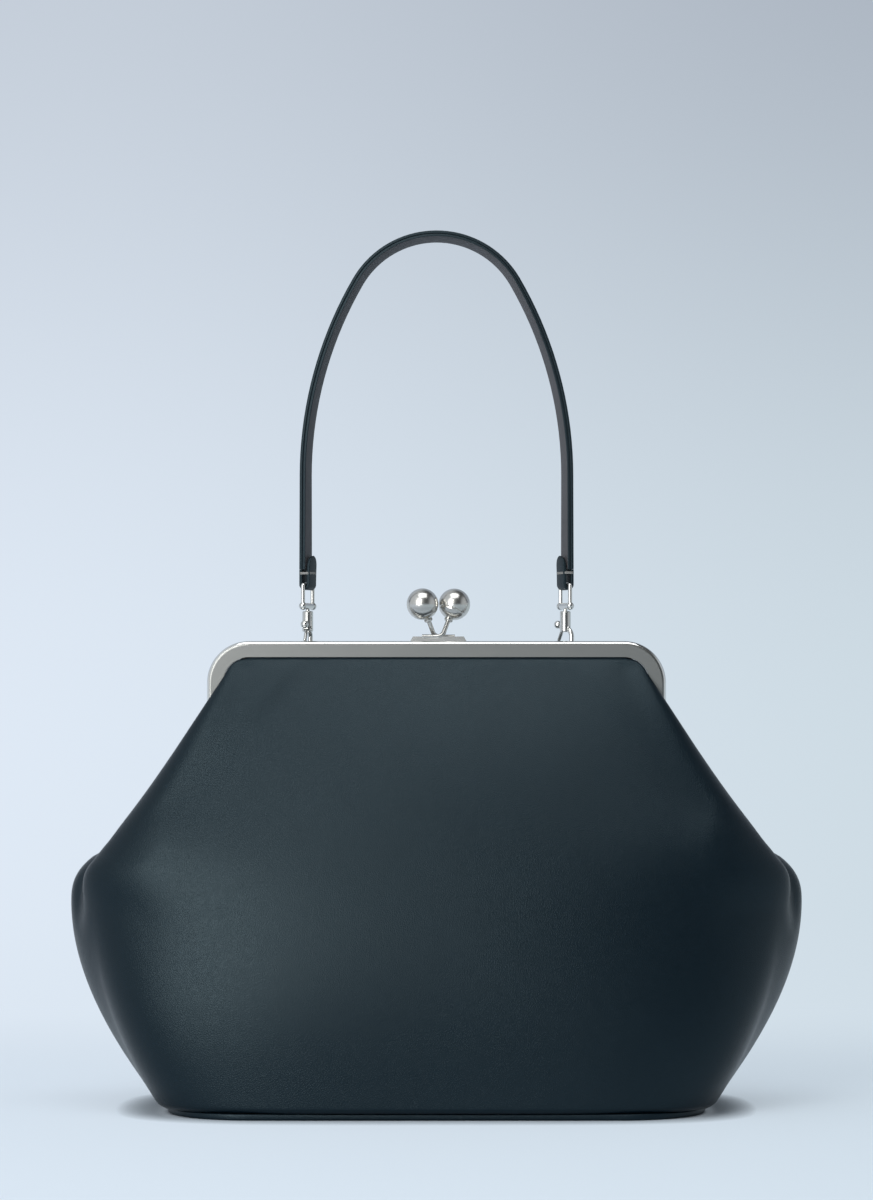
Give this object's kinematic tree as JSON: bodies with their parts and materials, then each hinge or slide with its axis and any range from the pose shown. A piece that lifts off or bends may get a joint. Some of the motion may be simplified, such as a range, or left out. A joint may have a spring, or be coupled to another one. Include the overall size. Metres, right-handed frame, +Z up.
{
  "type": "kiss lock frame purse",
  "caption": "Dark leather frame purse with a hinged nickel frame, ball kiss lock clasp and a short top strap on swivel snap hooks.",
  "frame": {"origin": "bottom centre of the base, on the floor", "axes": "x right, y to the back (the front faces -y), z up"},
  "size_m": [0.382, 0.1442, 0.4602],
  "materials": {
    "body_leather": "fine grain, half matt",
    "strap_leather": "smooth, half matt",
    "lining_cloth": "woven",
    "frame_metal": "satin nickel",
    "bright_metal": "polished nickel",
    "plain_steel": "plain",
    "board": "pressed board",
    "paper_cord": "twisted paper"
  },
  "bodies": {
    "bag": {"front_panel": "body_leather", "rear_panel": "body_leather", "front_lining": "lining_cloth", "rear_lining": "lining_cloth", "left_pleat": "body_leather", "right_pleat": "body_leather", "base_panel": "body_leather", "base_board": "board", "base_lining": "lining_cloth", "left_hinge_pin": "plain_steel", "right_hinge_pin": "plain_steel"},
    "front_frame": {"front_frame": "frame_metal", "front_flap": "body_leather", "front_flap_lining": "lining_cloth", "front_cord": "paper_cord", "front_clasp_arm": "bright_metal", "front_clasp_ball": "bright_metal", "front_clasp_collar": "bright_metal", "front_clasp_plate": "frame_metal", "front_clasp_rivets": "plain_steel"},
    "rear_frame": {"rear_frame": "frame_metal", "rear_flap": "body_leather", "rear_flap_lining": "lining_cloth", "rear_cord": "paper_cord", "rear_clasp_arm": "bright_metal", "rear_clasp_ball": "bright_metal", "rear_clasp_collar": "bright_metal", "rear_clasp_plate": "frame_metal", "rear_clasp_rivets": "plain_steel", "left_strap_loop": "bright_metal", "right_strap_loop": "bright_metal"},
    "strap": {"strap_outer": "strap_leather", "strap_inner": "strap_leather", "left_strap_end": "strap_leather", "right_strap_end": "strap_leather", "left_bail": "bright_metal", "right_bail": "bright_metal"},
    "left_hook": {"left_hook": "bright_metal", "left_gate_pin": "plain_steel", "left_gate_spring": "plain_steel"},
    "left_gate": {"left_gate": "bright_metal"},
    "right_hook": {"right_hook": "bright_metal", "right_gate_pin": "plain_steel", "right_gate_spring": "plain_steel"},
    "right_gate": {"right_gate": "bright_metal"}
  },
  "joints": [
    {"name": "front_open", "type": "hinge", "parent": "bag", "child": "front_frame", "pos_m": [0, 0, 0.185], "axis": [1, 0, 0], "range_deg": [0, 45], "deforming": ["left_pleat", "right_pleat"]},
    {"name": "rear_open", "type": "hinge", "parent": "bag", "child": "rear_frame", "pos_m": [0, 0, 0.185], "axis": [-1, 0, 0], "range_deg": [0, 45], "deforming": ["left_pleat", "right_pleat"]},
    {"name": "strap_swing", "type": "hinge", "parent": "rear_frame", "child": "strap", "pos_m": [0, 0.015, 0.237], "axis": [-1, 0, 0], "range_deg": [-25, 100]},
    {"name": "left_swivel", "type": "hinge", "parent": "strap", "child": "left_hook", "pos_m": [-0.068, 0.015, 0.255], "axis": [0, 0, 1], "range_deg": [-30, 60]},
    {"name": "right_swivel", "type": "hinge", "parent": "strap", "child": "right_hook", "pos_m": [0.068, 0.015, 0.255], "axis": [0, 0, 1], "range_deg": [-85, 3]},
    {"name": "left_gate_open", "type": "hinge", "parent": "left_hook", "child": "left_gate", "pos_m": [-0.06841, 0.01345, 0.2504], "axis": [0.9659, -0.2588, 0], "range_deg": [0, 22], "stiffness_Nm_per_rad": 0.003},
    {"name": "right_gate_open", "type": "hinge", "parent": "right_hook", "child": "right_gate", "pos_m": [0.06693, 0.01619, 0.2504], "axis": [-0.7431, -0.6691, 0], "range_deg": [0, 22], "stiffness_Nm_per_rad": 0.003}
  ]
}
